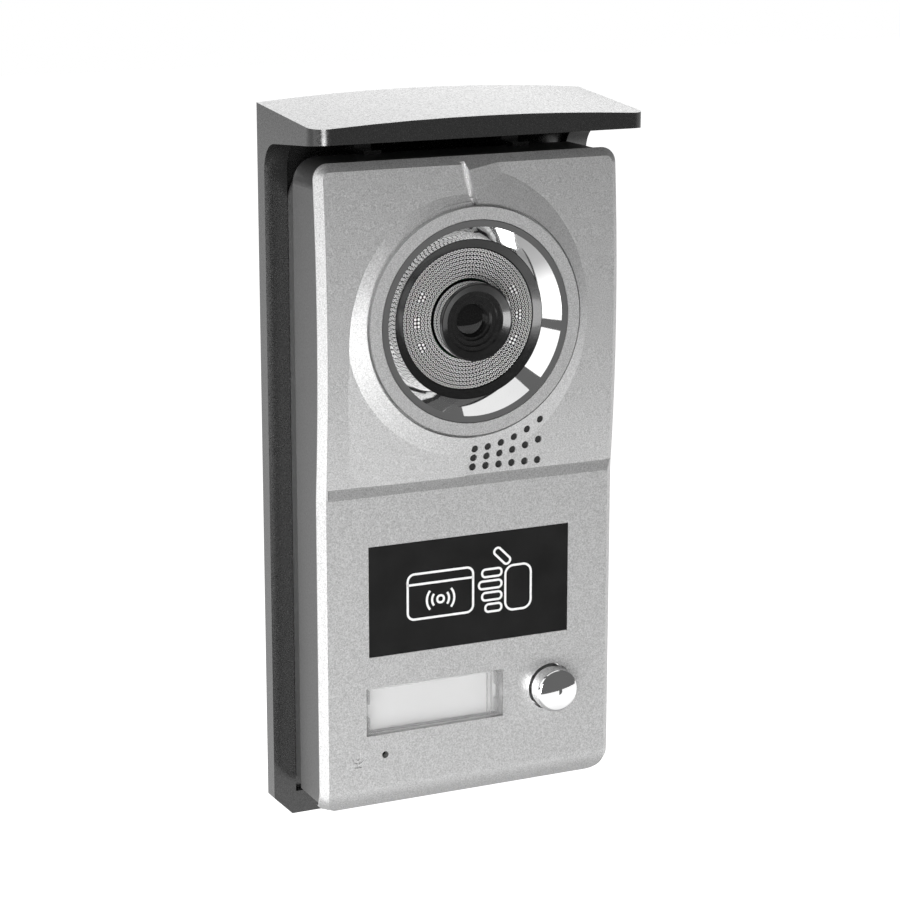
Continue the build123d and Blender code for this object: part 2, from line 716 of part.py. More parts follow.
    # Pocket for the label, name plate opening, button hole and microphone hole.
    block_at(0, LABEL_Z, LABEL_WIDTH, LABEL_HEIGHT, FACE_DEPTH - LABEL_SINK, FACE_DEPTH + 1, Mode.SUBTRACT)
    block_at(PLATE_X, PLATE_Z, PLATE_WIDTH, PLATE_HEIGHT, 25, 35, Mode.SUBTRACT)
    disc_at(BUTTON_X, BUTTON_Z, BUTTON_HOLE_RADIUS, 25, 35, Mode.SUBTRACT)
    disc_at(MIC_X, MIC_Z, MIC_HOLE_RADIUS, 25, 35, Mode.SUBTRACT)
    # Engraved microphone sign: cradle, stem and foot, with the capsule inside the cradle.
    with BuildSketch(depth_plane(FACE_DEPTH - ENGRAVING_DEPTH)):
        with Locations((SIGN_X, SIGN_Z + 0.5)):
            Circle(1.9)
            Circle(1.5, mode=Mode.SUBTRACT)
        with Locations((SIGN_X, SIGN_Z + 1.6)):
            Rectangle(4, 2.2, mode=Mode.SUBTRACT)
        with Locations((SIGN_X, SIGN_Z - 1.8)):
            Rectangle(0.4, 1.2)
        with Locations((SIGN_X, SIGN_Z - 2.4)):
            Rectangle(2.0, 0.4)
        with Locations((SIGN_X, SIGN_Z + 0.9)):
            SlotOverall(2.6, 1.4, rotation=90)
    extrude(amount=1, mode=Mode.SUBTRACT)
    # Posts for the case screws, with pilot holes from behind.
    for x, z in CASE_SCREW_PLACES:
        disc_at(x, z, 3.8, CASE_SPLIT_DEPTH, max(FACE_DEPTH, bulge_depth(z)) - 1.2)
        disc_at(x, z, CASE_SCREW_RADIUS + 0.05, CASE_SPLIT_DEPTH, 26, Mode.SUBTRACT)
    # Posts for the camera housing.
    for x, z in HOUSING_SCREW_PLACES:
        disc_at(x, z, 2.4, HOUSING_EAR_FRONT, 31.6)
        disc_at(x, z, SMALL_SCREW_RADIUS + 0.05, HOUSING_EAR_FRONT, 29.5, Mode.SUBTRACT)
    # Collar around the speaker holes, which the speaker's gasket rests on.
    with BuildSketch(depth_plane(SPEAKER_GASKET_FRONT)):
        with Locations((SPEAKER_X, SPEAKER_Z)):
            Circle(SPEAKER_RADIUS)
            Circle(SPEAKER_RADIUS - 1.2, mode=Mode.SUBTRACT)
    extrude(amount=1.3)
    # Pads that the reader board rests on.
    for x in (-READER_BOARD_WIDTH / 2 + 2, READER_BOARD_WIDTH / 2 - 2):
        for z in (LABEL_Z - READER_BOARD_HEIGHT / 2 + 2, LABEL_Z + READER_BOARD_HEIGHT / 2 - 2):
            disc_at(x, z, 1.4, READER_BOARD_DEPTH + READER_BOARD_THICKNESS, COVER_BACK_DEPTH + 0.5)
save(front_cover.part, "front_cover")

# ---------------------------------------------------------------- seal and fasteners of the case
with BuildPart() as case_seal:
    with BuildSketch(depth_plane(CASE_SPLIT_DEPTH - SEAL_THICKNESS)):
        add(seal_outline())
    extrude(amount=SEAL_THICKNESS)
save(case_seal.part, "case_seal")

with BuildPart() as case_screws:
    for x, z in CASE_SCREW_PLACES:
        disc_at(x, z, 2.7, HOOD_PLATE + 0.8, HOOD_PLATE + 3.5)
        disc_at(x, z, CASE_SCREW_RADIUS, HOOD_PLATE + 3.5, 24)
        block_at(x, z, 0.7, 3.6, HOOD_PLATE + 0.8, HOOD_PLATE + 1.8, Mode.SUBTRACT)
        block_at(x, z, 3.6, 0.7, HOOD_PLATE + 0.8, HOOD_PLATE + 1.8, Mode.SUBTRACT)
save(case_screws.part, "case_screws")

with BuildPart() as fixing_screw:
    with BuildSketch(Plane.XY.offset(LUG_BOTTOM + 0.1)):
        with Locations((0, -FIXING_SCREW_DEPTH)):
            Circle(FIXING_HEAD_RADIUS)
    extrude(amount=FIXING_HEAD_LENGTH - 0.1)
    with BuildSketch(Plane.XY.offset(LUG_BOTTOM + FIXING_HEAD_LENGTH)):
        with Locations((0, -FIXING_SCREW_DEPTH)):
            Circle(FIXING_SCREW_RADIUS)
    extrude(amount=FIXING_SCREW_LENGTH)
    with BuildSketch(Plane.XY.offset(LUG_BOTTOM + 0.1)):
        with Locations((0, -FIXING_SCREW_DEPTH)):
            RegularPolygon(1.4, 6)
    extrude(amount=0.9, mode=Mode.SUBTRACT)
save(fixing_screw.part, "fixing_screw")

with BuildPart() as cable_grommet:
    turned(
        [
            (CABLE_HOLE_RADIUS - 0.1, HOOD_PLATE + 0.1),
            (CABLE_HOLE_RADIUS - 0.1, HOOD_PLATE + WALL),
            (CABLE_HOLE_RADIUS + 1.5, HOOD_PLATE + WALL),
            (CABLE_HOLE_RADIUS + 1.5, HOOD_PLATE + WALL + 1.3),
            (CABLE_WAY_RADIUS, HOOD_PLATE + WALL + 1.3),
            (CABLE_WAY_RADIUS, HOOD_PLATE + 0.1),
        ],
        0,
        CABLE_HOLE_Z,
    )
save(cable_grommet.part, "cable_grommet")

# ---------------------------------------------------------------- main board
with BuildPart() as main_board:
    block_at(0, BOARD_Z, BOARD_WIDTH, BOARD_HEIGHT, MAIN_BOARD_DEPTH, BOARD_FRONT)
    for x, z in BOARD_POST_PLACES:
        disc_at(x, z, BOARD_SCREW_RADIUS + 0.1, MAIN_BOARD_DEPTH, BOARD_FRONT, Mode.SUBTRACT)
save(main_board.part, "main_board")

with BuildPart() as board_screws:
    for x, z in BOARD_POST_PLACES:
        disc_at(x, z, 2.2, BOARD_FRONT, BOARD_FRONT + 1.6)
        disc_at(x, z, BOARD_SCREW_RADIUS, 8, BOARD_FRONT)
        block_at(x, z, 0.6, 3.0, BOARD_FRONT + 0.9, BOARD_FRONT + 1.6, Mode.SUBTRACT)
        block_at(x, z, 3.0, 0.6, BOARD_FRONT + 0.9, BOARD_FRONT + 1.6, Mode.SUBTRACT)
save(board_screws.part, "board_screws")

with BuildPart() as lock_relay:
    block_at(-21, -6, 19, 15, BOARD_FRONT, BOARD_FRONT + 10)
    fillet(lock_relay.edges().group_by(Axis.Y)[0], 0.8)
save(lock_relay.part, "lock_relay")

with BuildPart() as capacitors:
    for x, z in ((-31, -24), (-31, -34), (-31, -41)):
        disc_at(x, z, 3.1, BOARD_FRONT, BOARD_FRONT + 8)
save(capacitors.part, "capacitors")

with BuildPart() as processor:
    block_at(-8, -40, 12, 12, BOARD_FRONT, BOARD_FRONT + 1.2)
    block_at(12, -40, 8, 10, BOARD_FRONT, BOARD_FRONT + 1.2)
save(processor.part, "processor")

with BuildPart() as terminal_block:
    block_at(0, TERMINAL_Z, TERMINAL_PITCH * TERMINALS, 10, TERMINAL_BACK, MAIN_BOARD_DEPTH)
    for x in TERMINAL_PLACES:
        disc_at(x, TERMINAL_Z, 1.9, TERMINAL_BACK, TERMINAL_BACK + 4, Mode.SUBTRACT)
    with BuildSketch(Plane.XY.offset(TERMINAL_Z + 5)):
        with Locations(*[(x, -(MAIN_BOARD_DEPTH - 3)) for x in TERMINAL_PLACES]):
            Rectangle(3.2, 3.2)
    extrude(amount=-7, mode=Mode.SUBTRACT)
save(terminal_block.part, "terminal_block")

with BuildPart() as terminal_screws:
    for x in TERMINAL_PLACES:
        disc_at(x, TERMINAL_Z, 1.8, TERMINAL_BACK + 1.5, TERMINAL_BACK + 4)
        block_at(x, TERMINAL_Z, 0.6, 4, TERMINAL_BACK + 1.5, TERMINAL_BACK + 2.3, Mode.SUBTRACT)
save(terminal_screws.part, "terminal_screws")

# ---------------------------------------------------------------- camera
with BuildPart() as camera_housing:
    turned(
        [
            (0, HOUSING_BACK),
            (HOUSING_RADIUS, HOUSING_BACK),
            (HOUSING_RADIUS, CHROME_BACK),
            (HOUSING_RADIUS - 1.4, CHROME_BACK),
            (HOUSING_RADIUS - 1.4, HOUSING_FLOOR),
            (BEZEL_OUTER_RADIUS, HOUSING_FLOOR),
            (BEZEL_OUTER_RADIUS, LED_BOARD_DEPTH),
            (BEZEL_OUTER_RADIUS - 1.6, LED_BOARD_DEPTH),
            (BEZEL_OUTER_RADIUS - 1.6, HOUSING_FLOOR),
            (0, HOUSING_FLOOR),
        ]
    )
    for x in (-12, 12):
        for z in (CAMERA_Z - 12, CAMERA_Z + 12):
            disc_at(x, z, 1.8, HOUSING_FLOOR, CAMERA_BOARD_DEPTH)
    # Ears for the screws into the front cover.
    ear_back = HOUSING_EAR_FRONT - HOUSING_EAR_THICKNESS
    for angle, place in zip(HOUSING_SCREW_ANGLES, HOUSING_SCREW_PLACES):
        middle = (HOUSING_RADIUS - 1 + HOUSING_SCREW_CIRCLE) / 2
        with BuildSketch(depth_plane(ear_back)):
            with Locations(
                Location(
                    (
                        middle * math.cos(math.radians(angle)),
                        CAMERA_Z + middle * math.sin(math.radians(angle)),
                    ),
                    angle,
                )
            ):
                Rectangle(HOUSING_SCREW_CIRCLE - HOUSING_RADIUS + 1, 5.6)
            with Locations(place):
                Circle(2.8)
                Circle(SMALL_SCREW_RADIUS + 0.1, mode=Mode.SUBTRACT)
        extrude(amount=HOUSING_EAR_THICKNESS)
    # Way through for the camera's connector.
    block_at(0, CAMERA_Z - 10, 16, 5, HOUSING_BACK, HOUSING_FLOOR, Mode.SUBTRACT)
save(camera_housing.part, "camera_housing")

with BuildPart() as housing_screws:
    for x, z in HOUSING_SCREW_PLACES:
        disc_at(x, z, 2.0, ear_back - 1.4, ear_back)
        disc_at(x, z, SMALL_SCREW_RADIUS, ear_back, 28.8)
        block_at(x, z, 0.5, 2.6, ear_back - 1.4, ear_back - 0.8, Mode.SUBTRACT)
        block_at(x, z, 2.6, 0.5, ear_back - 1.4, ear_back - 0.8, Mode.SUBTRACT)
save(housing_screws.part, "housing_screws")

with BuildPart() as camera_connector:
    block_at(0, CAMERA_Z - 10, 14, 3, BOARD_FRONT, CAMERA_BOARD_DEPTH)
save(camera_connector.part, "camera_connector")

with BuildPart() as camera_board:
    block_at(0, CAMERA_Z, 27, 27, CAMERA_BOARD_DEPTH, CAMERA_BOARD_FRONT)
save(camera_board.part, "camera_board")

with BuildPart() as image_sensor:
    block_at(0, CAMERA_Z, 9, 9, CAMERA_BOARD_FRONT, CAMERA_BOARD_FRONT + 1.4)
save(image_sensor.part, "image_sensor")

with BuildPart() as lens_sleeve:
    turned(
        [
            (BARREL_RADIUS, CAMERA_BOARD_FRONT),
            (BARREL_RADIUS, BARREL_DEPTH - 0.7),
            (BARREL_RADIUS - 1.3, BARREL_DEPTH - 0.7),
            (BARREL_RADIUS - 1.3, CAMERA_BOARD_FRONT),
        ]
    )
save(lens_sleeve.part, "lens_sleeve")

with BuildPart() as lens_barrel:
    turned(
        [
            (BARREL_RADIUS - 1.35, 22.5),
            (BARREL_RADIUS - 1.35, BARREL_DEPTH - 0.7),
            (BARREL_RADIUS, BARREL_DEPTH - 0.7),
            (BARREL_RADIUS, BARREL_DEPTH - 0.3),
            (BARREL_RADIUS - 0.3, BARREL_DEPTH),
            (BARREL_RADIUS - 0.6, BARREL_DEPTH),
            (8.4, BARREL_DEPTH - 1.0),
            (8.2, BARREL_DEPTH - 1.6),
            (7.1, BARREL_DEPTH - 1.6),
            (6.9, BARREL_DEPTH - 2.3),
            (LENS_RADIUS + 0.1, BARREL_DEPTH - 2.3),
            (LENS_RADIUS + 0.1, FRONT_LENS_BACK),
            (LENS_RADIUS - 1.1, FRONT_LENS_BACK),
            (LENS_RADIUS - 1.1, FRONT_LENS_BACK - 2),
            (LENS_RADIUS + 0.1, FRONT_LENS_BACK - 2),
            (LENS_RADIUS + 0.1, 22.5),
        ]
    )
save(lens_barrel.part, "lens_barrel")

with BuildPart() as lens_retainer:
    turned(
        [
            (LENS_RADIUS + 0.05, FRONT_LENS_BACK + 2.2),
            (LENS_RADIUS + 0.05, FRONT_LENS_BACK + 3.2),
            (LENS_RADIUS - 0.8, FRONT_LENS_BACK + 3.2),
            (LENS_RADIUS - 1.1, FRONT_LENS_BACK + 2.2),
        ]
    )
save(lens_retainer.part, "lens_retainer")

with BuildPart() as front_lens:
    with BuildSketch(side_plane(0, CAMERA_Z)):
        with BuildLine():
            Polyline(
                (-FRONT_LENS_BACK - 3.0, 0),
                (-FRONT_LENS_BACK, 0),
                (-FRONT_LENS_BACK, LENS_RADIUS),
                (-FRONT_LENS_BACK - 2.2, LENS_RADIUS),
                (-FRONT_LENS_BACK - 2.2, LENS_RADIUS - 1.2),
            )
            dome_arc(FRONT_LENS_BACK + 3.0, 0.8, LENS_RADIUS - 1.2)
        make_face()
    revolve(axis=Axis((0, 0, CAMERA_Z), (0, -1, 0)))
save(front_lens.part, "front_lens")

with BuildPart() as rear_lens:
    disc_at(0, CAMERA_Z, LENS_RADIUS, FRONT_LENS_BACK - 4, FRONT_LENS_BACK - 2)
save(rear_lens.part, "rear_lens")

with BuildPart() as led_board:
    with BuildSketch(depth_plane(LED_BOARD_DEPTH)):
        with Locations((0, CAMERA_Z)):
            Circle(BEZEL_OUTER_RADIUS)
            Circle(BARREL_RADIUS + 0.4, mode=Mode.SUBTRACT)
    extrude(amount=LED_BOARD_FRONT - LED_BOARD_DEPTH)
save(led_board.part, "led_board")

with BuildPart() as infrared_leds:
    for x, z in LED_PLACES:
        disc_at(x, z, LED_RADIUS, LED_BOARD_FRONT, LED_FRONT)
        disc_at(x, z, LED_RADIUS + 0.3, LED_BOARD_FRONT, LED_BOARD_FRONT + 0.8)
    fillet(infrared_leds.edges().group_by(Axis.Y)[0], LED_RADIUS - 0.3)
save(infrared_leds.part, "infrared_leds")

with BuildPart() as light_sensor:
    disc_at(0, CAMERA_Z + LED_CIRCLE_RADIUS, 2.3, LED_BOARD_FRONT, LED_BOARD_FRONT + 2.6)
save(light_sensor.part, "light_sensor")

with BuildPart() as crystal_disc:
    # The front has a fine groove under each ring of dimples.
    row_pitch = (DISC_OUTER_RADIUS - DISC_INNER_RADIUS - 0.6) / DISC_ROWS
    profile = [(DISC_INNER_RADIUS, DISC_DEPTH - DISC_THICKNESS), (DISC_INNER_RADIUS, DISC_DEPTH)]
    for row in range(DISC_ROWS):
        start = DISC_INNER_RADIUS + 0.3 + row * row_pitch
        profile.append((start, DISC_DEPTH))
        profile.append((start + row_pitch / 2, DISC_DEPTH - DISC_GROOVE))
    profile.append((DISC_OUTER_RADIUS - 0.3, DISC_DEPTH))
    profile.append((DISC_OUTER_RADIUS, DISC_DEPTH))
    profile.append((DISC_OUTER_RADIUS, DISC_DEPTH - DISC_THICKNESS))
    turned(profile)
save(crystal_disc.part, "crystal_disc")

with BuildPart() as camera_bezel:
    turned(
        [
            (BEZEL_OUTER_RADIUS, CHROME_FOOT_DEPTH),
            (BEZEL_OUTER_RADIUS, LED_BOARD_FRONT),
            (BEZEL_OUTER_RADIUS - 1.1, LED_BOARD_FRONT),
            (BEZEL_OUTER_RADIUS - 1.1, DISC_DEPTH - DISC_THICKNESS - 1.3),
            (BEZEL_INNER_RADIUS - 0.9, DISC_DEPTH - DISC_THICKNESS - 1.3),
            (BEZEL_INNER_RADIUS - 0.9, DISC_DEPTH - DISC_THICKNESS),
            (BEZEL_INNER_RADIUS, DISC_DEPTH - DISC_THICKNESS),
            (BEZEL_INNER_RADIUS, DISC_DEPTH + 0.2),
        ]
    )
save(camera_bezel.part, "camera_bezel")

with BuildPart() as chrome_reflector:
    turned(
        [
            (CHROME_OUTER_RADIUS, CHROME_BACK),
            (CHROME_OUTER_RADIUS, RING_DEPTH - 0.1),
            (CHROME_LIP_RADIUS, RING_DEPTH - 0.1),
            (CHROME_INNER_RADIUS, CHROME_FOOT_DEPTH),
            (CHROME_INNER_RADIUS, CHROME_BACK),
            (CHROME_INNER_RADIUS + 1.2, CHROME_BACK),
            (CHROME_INNER_RADIUS + 1.2, CHROME_FOOT_DEPTH - 0.5),
            (CHROME_LIP_RADIUS + 0.5, RING_DEPTH - 1.4),
            (CHROME_OUTER_RADIUS - 1.3, CHROME_BACK),
        ]
    )
save(chrome_reflector.part, "chrome_reflector")

# ---------------------------------------------------------------- speaker and microphone
speaker_front = SPEAKER_GASKET_FRONT - SPEAKER_GASKET_THICKNESS
with BuildPart() as speaker_gasket:
    with BuildSketch(depth_plane(speaker_front)):
        with Locations((SPEAKER_X, SPEAKER_Z)):
            Circle(SPEAKER_RADIUS)
            Circle(SPEAKER_RADIUS - 1.2, mode=Mode.SUBTRACT)
    extrude(amount=SPEAKER_GASKET_THICKNESS)
save(speaker_gasket.part, "speaker_gasket")

with BuildPart() as speaker_frame:
    turned(
        [
            (SPEAKER_RADIUS, speaker_front),
            (SPEAKER_RADIUS, speaker_front - 1.2),
            (7.6, speaker_front - 5.5),
            (5.0, speaker_front - 5.5),
            (5.0, speaker_front - 4.5),
            (7.2, speaker_front - 4.5),
            (SPEAKER_RADIUS - 1.2, speaker_front - 0.9),
            (SPEAKER_RADIUS - 1.2, speaker_front),
        ],
        SPEAKER_X,
        SPEAKER_Z,
    )
save(speaker_frame.part, "speaker_frame")

with BuildPart() as speaker_cone:
    turned(
        [
            (SPEAKER_RADIUS - 1.3, speaker_front - 0.3),
            (4.4, speaker_front - 3.4),
            (0, speaker_front - 2.4),
            (0, speaker_front - 2.9),
            (4.4, speaker_front - 3.9),
            (SPEAKER_RADIUS - 1.3, speaker_front - 0.8),
        ],
        SPEAKER_X,
        SPEAKER_Z,
    )
save(speaker_cone.part, "speaker_cone")

with BuildPart() as speaker_magnet:
    disc_at(SPEAKER_X, SPEAKER_Z, 7.0, speaker_front - 9.3, speaker_front - 5.5)
save(speaker_magnet.part, "speaker_magnet")

with BuildPart() as microphone_boot:
    disc_at(MIC_X, MIC_Z, 3.4, MIC_BACK - 0.8, COVER_BACK_DEPTH)
    disc_at(MIC_X, MIC_Z, MIC_RADIUS + 0.05, MIC_BACK, MIC_BACK + MIC_LENGTH, Mode.SUBTRACT)
    disc_at(MIC_X, MIC_Z, MIC_HOLE_RADIUS, MIC_BACK, COVER_BACK_DEPTH, Mode.SUBTRACT)
save(microphone_boot.part, "microphone_boot")

with BuildPart() as microphone:
    disc_at(MIC_X, MIC_Z, MIC_RADIUS, MIC_BACK, MIC_BACK + MIC_LENGTH)
save(microphone.part, "microphone")

# ---------------------------------------------------------------- card reader and its label
with BuildPart() as reader_label:
    label_back = FACE_DEPTH - LABEL_SINK
    block_at(0, LABEL_Z, LABEL_WIDTH - 0.2, LABEL_HEIGHT - 0.2, label_back, label_back + LABEL_THICKNESS)
save(reader_label.part, "reader_label")

with BuildPart() as reader_board:
    block_at(
        0,
        LABEL_Z,
        READER_BOARD_WIDTH,
        READER_BOARD_HEIGHT,
        READER_BOARD_DEPTH,
        READER_BOARD_DEPTH + READER_BOARD_THICKNESS,
    )
save(reader_board.part, "reader_board")

with BuildPart() as reader_coil:
    with BuildSketch(depth_plane(READER_BOARD_DEPTH)):
        with Locations((0, LABEL_Z)):
            RectangleRounded(READER_BOARD_WIDTH - 4, READER_BOARD_HEIGHT - 4, 3)
            RectangleRounded(READER_BOARD_WIDTH - 12, READER_BOARD_HEIGHT - 12, 2, mode=Mode.SUBTRACT)
    extrude(amount=-0.5)
save(reader_coil.part, "reader_coil")

# ---------------------------------------------------------------- name plate and its light
with BuildPart() as nameplate_holder:
    block_at(PLATE_X, PLATE_Z, PLATE_WIDTH + 4, PLATE_HEIGHT + 4, HOLDER_BACK, COVER_BACK_DEPTH)
    block_at(
        PLATE_X, PLATE_Z, PLATE_WIDTH, PLATE_HEIGHT, HOLDER_BACK + 0.8, COVER_BACK_DEPTH, Mode.SUBTRACT
    )
save(nameplate_holder.part, "nameplate_holder")

with BuildPart() as nameplate_window:
    block_at(PLATE_X, PLATE_Z, PLATE_WIDTH - 0.3, PLATE_HEIGHT - 0.3, WINDOW_BACK, WINDOW_FRONT)
    # Notches at both ends for levering the window out.
    for side in (-1, 1):
        for end in (-1, 1):
            block_at(
                PLATE_X + side * (PLATE_WIDTH / 2 - 1),
                PLATE_Z + end * (PLATE_HEIGHT / 2 - 1.2),
                2,
                1.4,
                WINDOW_BACK,
                WINDOW_FRONT,
                Mode.SUBTRACT,
            )
save(nameplate_window.part, "nameplate_window")

with BuildPart() as name_card:
    block_at(PLATE_X, PLATE_Z, PLATE_WIDTH - 1, PLATE_HEIGHT - 1, WINDOW_BACK - 0.5, WINDOW_BACK)
save(name_card.part, "name_card")

with BuildPart() as backlight_diffuser:
    block_at(PLATE_X, PLATE_Z, PLATE_WIDTH - 1, PLATE_HEIGHT - 1, HOLDER_BACK + 2.8, WINDOW_BACK - 0.5)
save(backlight_diffuser.part, "backlight_diffuser")

with BuildPart() as backlight_board:
    block_at(PLATE_X, PLATE_Z, PLATE_WIDTH - 3, 6, HOLDER_BACK + 0.8, HOLDER_BACK + 1.8)
save(backlight_board.part, "backlight_board")

with BuildPart() as backlight_leds:
    for number in range(4):
        led_x = PLATE_X + (number - 1.5) * 10
        block_at(led_x, PLATE_Z, 3, 1.6, HOLDER_BACK + 1.8, HOLDER_BACK + 2.6)
save(backlight_leds.part, "backlight_leds")

# ---------------------------------------------------------------- call button
with BuildPart() as call_button:
    with BuildSketch(side_plane(BUTTON_X, BUTTON_Z)):
        with BuildLine():
            dome_arc(BUTTON_FRONT, 0.4, BUTTON_RADIUS - 1.1)
            ThreePointArc(
                (-BUTTON_FRONT + 0.4, BUTTON_RADIUS - 1.1),
                (-BUTTON_FRONT + 0.75, BUTTON_RADIUS - 0.32),
                (-BUTTON_FRONT + 1.5, BUTTON_RADIUS),
            )
            Polyline(
                (-BUTTON_FRONT + 1.5, BUTTON_RADIUS),
                (-FLANGE_FRONT, BUTTON_RADIUS),
                (-FLANGE_FRONT, FLANGE_RADIUS),
                (-FLANGE_BACK, FLANGE_RADIUS),
                (-FLANGE_BACK, STEM_RADIUS),
                (-STEM_END, STEM_RADIUS),
                (-STEM_END, 0),
                (-BUTTON_FRONT, 0),
            )
        make_face()
    revolve(axis=Axis((BUTTON_X, 0, BUTTON_Z), (0, -1, 0)))
save(call_button.part, "call_button")

with BuildPart() as button_guide:
    disc_at(BUTTON_X, BUTTON_Z, FLANGE_RADIUS + 1.9, GUIDE_BACK, COVER_BACK_DEPTH)
    disc_at(BUTTON_X, BUTTON_Z, FLANGE_RADIUS + 0.4, GUIDE_BACK + 1, COVER_BACK_DEPTH, Mode.SUBTRACT)
    disc_at(BUTTON_X, BUTTON_Z, STEM_RADIUS + 0.3, GUIDE_BACK, GUIDE_BACK + 1, Mode.SUBTRACT)
save(button_guide.part, "button_guide")

with BuildPart() as button_spring:
    spring_start = GUIDE_BACK + 1 + SPRING_WIRE_RADIUS + 0.03
    spring_end = FLANGE_BACK - SPRING_WIRE_RADIUS - 0.03
    with BuildLine() as spring_path:
        Helix(
            pitch=(spring_end - spring_start) / SPRING_TURNS,
            height=spring_end - spring_start,
            radius=SPRING_RADIUS,
            center=(BUTTON_X, -spring_start, BUTTON_Z),
            direction=(0, -1, 0),
        )
    with BuildSketch(Plane(origin=spring_path.line @ 0, z_dir=spring_path.line % 0)):
        Circle(SPRING_WIRE_RADIUS)
    sweep(path=spring_path.line, is_frenet=True)
save(button_spring.part, "button_spring")

with BuildPart() as push_switch:
    block_at(BUTTON_X, BUTTON_Z, 8, 8, BOARD_FRONT, SWITCH_FRONT)
    disc_at(BUTTON_X, BUTTON_Z, PLUNGER_RADIUS + 0.3, BOARD_FRONT + 0.6, SWITCH_FRONT, Mode.SUBTRACT)
save(push_switch.part, "push_switch")

with BuildPart() as switch_plunger:
    disc_at(BUTTON_X, BUTTON_Z, PLUNGER_RADIUS, SWITCH_FRONT - 0.9, STEM_END - 0.05)
save(switch_plunger.part, "switch_plunger")
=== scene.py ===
import math

import bmesh
import bpy
from mathutils import Matrix, Vector
from mathutils.bvhtree import BVHTree


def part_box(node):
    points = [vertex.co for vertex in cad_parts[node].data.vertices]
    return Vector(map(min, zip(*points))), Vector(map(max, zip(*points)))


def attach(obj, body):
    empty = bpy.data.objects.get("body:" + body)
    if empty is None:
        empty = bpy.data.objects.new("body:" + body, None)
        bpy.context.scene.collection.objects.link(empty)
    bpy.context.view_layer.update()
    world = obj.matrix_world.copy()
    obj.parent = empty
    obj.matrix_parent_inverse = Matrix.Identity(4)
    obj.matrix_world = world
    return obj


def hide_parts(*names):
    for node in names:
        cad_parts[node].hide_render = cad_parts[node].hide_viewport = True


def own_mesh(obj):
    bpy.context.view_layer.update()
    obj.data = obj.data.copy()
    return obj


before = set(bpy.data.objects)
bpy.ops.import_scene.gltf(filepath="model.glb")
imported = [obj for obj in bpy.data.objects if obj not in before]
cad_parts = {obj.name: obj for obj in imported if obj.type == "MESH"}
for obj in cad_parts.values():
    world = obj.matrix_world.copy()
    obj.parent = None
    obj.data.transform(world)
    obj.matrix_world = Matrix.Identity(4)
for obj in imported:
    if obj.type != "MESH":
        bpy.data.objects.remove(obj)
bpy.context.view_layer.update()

# ---------------------------------------------------------------- sizes, metres in the part's frame
MM = 0.001
CAMERA_CENTRE = Vector((0, 0, 0.043))
LABEL_LOW, LABEL_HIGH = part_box("reader_label")
DISC_FRONT_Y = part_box("crystal_disc")[0][1]
LAMP_CIRCLE_RADIUS = 15.5 * MM
LAMP_ANGLES = (0, 27, -27, 180, 153, 207)


# ---------------------------------------------------------------- materials
def new_material(name):
    """A node material and its Principled shader."""
    material = bpy.data.materials.new(name)
    material.use_nodes = True
    shader = material.node_tree.nodes["Principled BSDF"]
    return material, shader


def node(material, kind, **values):
    """Adds a shader node. Keys that name inputs set them, the rest set properties."""
    made = material.node_tree.nodes.new(kind)
    for key, value in values.items():
        if key in made.inputs:
            made.inputs[key].default_value = value
        else:
            setattr(made, key, value)
    return made


def wire(material, source, target):
    material.node_tree.links.new(source, target)


def set_inputs(material, values):
    """Sets inputs of the material's Principled shader by name."""
    shader = material.node_tree.nodes["Principled BSDF"]
    for name, value in values.items():
        shader.inputs[name].default_value = value


def position(material):
    """Object coordinates, in metres."""
    return node(material, "ShaderNodeTexCoord").outputs["Object"]


def noise(material, scale, detail=2.0, roughness=0.5):
    made = node(material, "ShaderNodeTexNoise", Scale=scale, Detail=detail, Roughness=roughness)
    wire(material, position(material), made.inputs["Vector"])
    return made.outputs["Fac"]


def ramp(material, factor, stops):
    """A colour ramp from (place, grey or colour) stops."""
    made = node(material, "ShaderNodeValToRGB")
    wire(material, factor, made.inputs["Fac"])
    elements = made.color_ramp.elements
    while len(elements) < len(stops):
        elements.new(0.5)
    for element, (place, colour) in zip(elements, stops):
        element.position = place
        if not isinstance(colour, tuple):
            colour = (colour, colour, colour)
        element.color = (*colour, 1)
    return made.outputs["Color"]


def bump(material, shader, height, strength, distance):
    """Fine surface relief from a height, its depth in metres."""
    made = node(material, "ShaderNodeBump", Strength=strength, Distance=distance)
    wire(material, height, made.inputs["Height"])
    wire(material, made.outputs["Normal"], shader.inputs["Normal"])


def metallic_paint(name, dark, light, roughness, metallic, grain, bump_strength=0.25):
    """Sprayed paint with metal flakes: fine bright and dark grains, and a few sparkles."""
    material, shader = new_material(name)
    flakes = noise(material, grain, 3.0, 0.6)
    middle = (dark + light) / 2
    colour = ramp(material, flakes, ((0.30, dark), (0.50, middle), (0.72, light)))
    wire(material, colour, shader.inputs["Base Color"])
    sheen = noise(material, grain * 0.45, 2.0)
    smooth = ramp(material, sheen, ((0.3, roughness - 0.07), (0.7, roughness + 0.07)))
    wire(material, smooth, shader.inputs["Roughness"])
    shader.inputs["Metallic"].default_value = metallic
    bump(material, shader, flakes, bump_strength, 0.00008)
    return material


def plain(name, colour, roughness, metallic=0.0, speckle=0.0, grain=900.0, bump_strength=0.0, coat=0.0):
    """Moulded plastic, rubber or metal with slight patches and a fine surface grain."""
    material, shader = new_material(name)
    if not isinstance(colour, tuple):
        colour = (colour, colour, colour)
    patches = noise(material, grain, 4.0)
    low = tuple(channel * (1 - speckle) for channel in colour)
    high = tuple(min(1.0, channel * (1 + speckle)) for channel in colour)
    wire(material, ramp(material, patches, ((0.3, low), (0.7, high))), shader.inputs["Base Color"])
    smooth = ramp(material, patches, ((0.3, roughness * 0.9), (0.7, roughness * 1.1)))
    wire(material, smooth, shader.inputs["Roughness"])
    shader.inputs["Metallic"].default_value = metallic
    shader.inputs["Coat Weight"].default_value = coat
    if bump_strength:
        bump(material, shader, patches, bump_strength, 0.00005)
    return material


